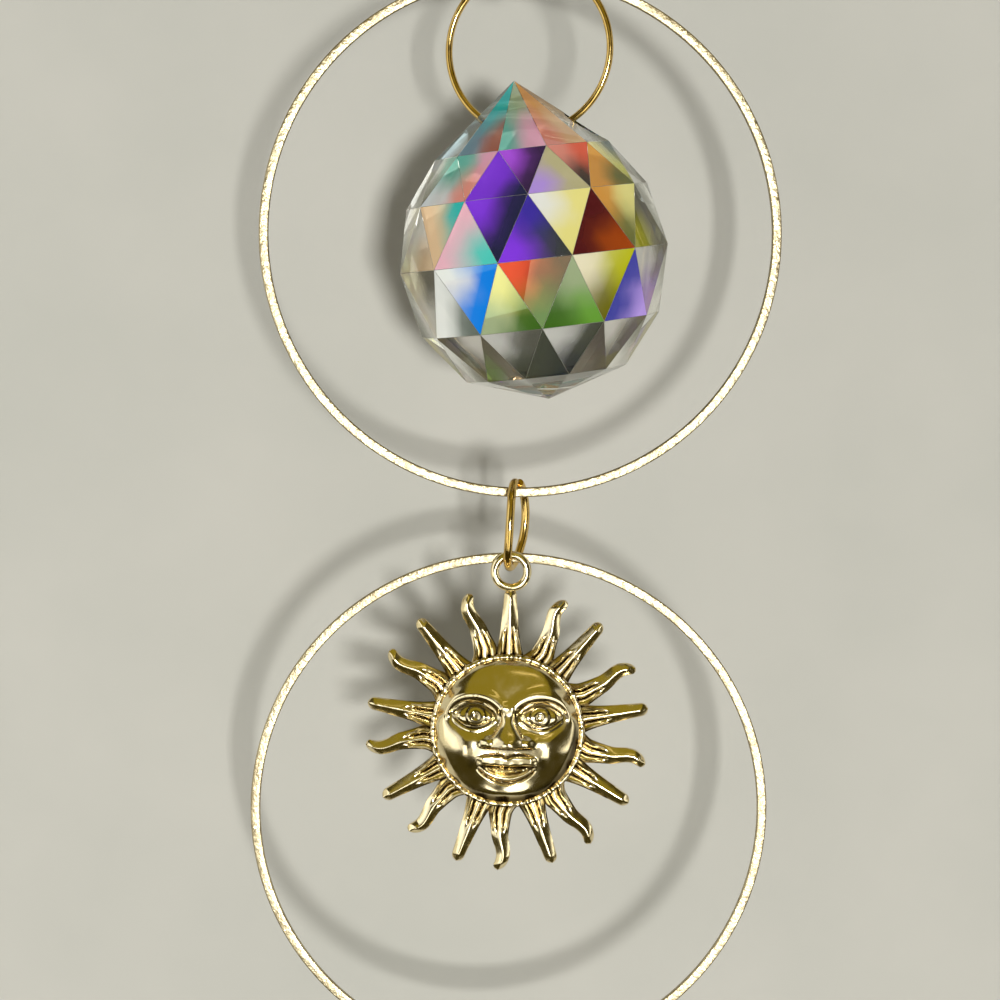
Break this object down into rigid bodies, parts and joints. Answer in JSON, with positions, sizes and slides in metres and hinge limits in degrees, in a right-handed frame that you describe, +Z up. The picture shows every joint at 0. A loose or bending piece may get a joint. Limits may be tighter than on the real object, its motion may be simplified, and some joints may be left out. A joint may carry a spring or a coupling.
{
  "type": "crystal suncatcher",
  "caption": "Hanging suncatcher: a faceted crystal ball in an upper wire hoop, linked to a lower wire hoop that holds a stamped brass sun with a face.",
  "frame": {"origin": "inner top of the top link, where the hook or cord that holds the suncatcher bears", "axes": "+Z up along the plumb line, the front of the sun and the hoops' faces towards -Y, +X to the right seen from the front"},
  "size_m": [0.0762, 0.0387, 0.1715],
  "materials": {
    "hoop_brass": "pale gold-plated flat brass wire, brushed",
    "wire_brass": "deep gold polished round brass wire",
    "sun_brass": "gold-plated stamped brass, polished",
    "crystal": "clear cut crystal with an iridescent coating"
  },
  "bodies": {
    "root": {"top_link": "wire_brass", "upper_hoop": "hoop_brass", "crystal_ring": "wire_brass", "crystal_ball": "crystal", "middle_link": "wire_brass", "lower_hoop": "hoop_brass", "sun_charm": "sun_brass"}
  },
  "joints": []
}
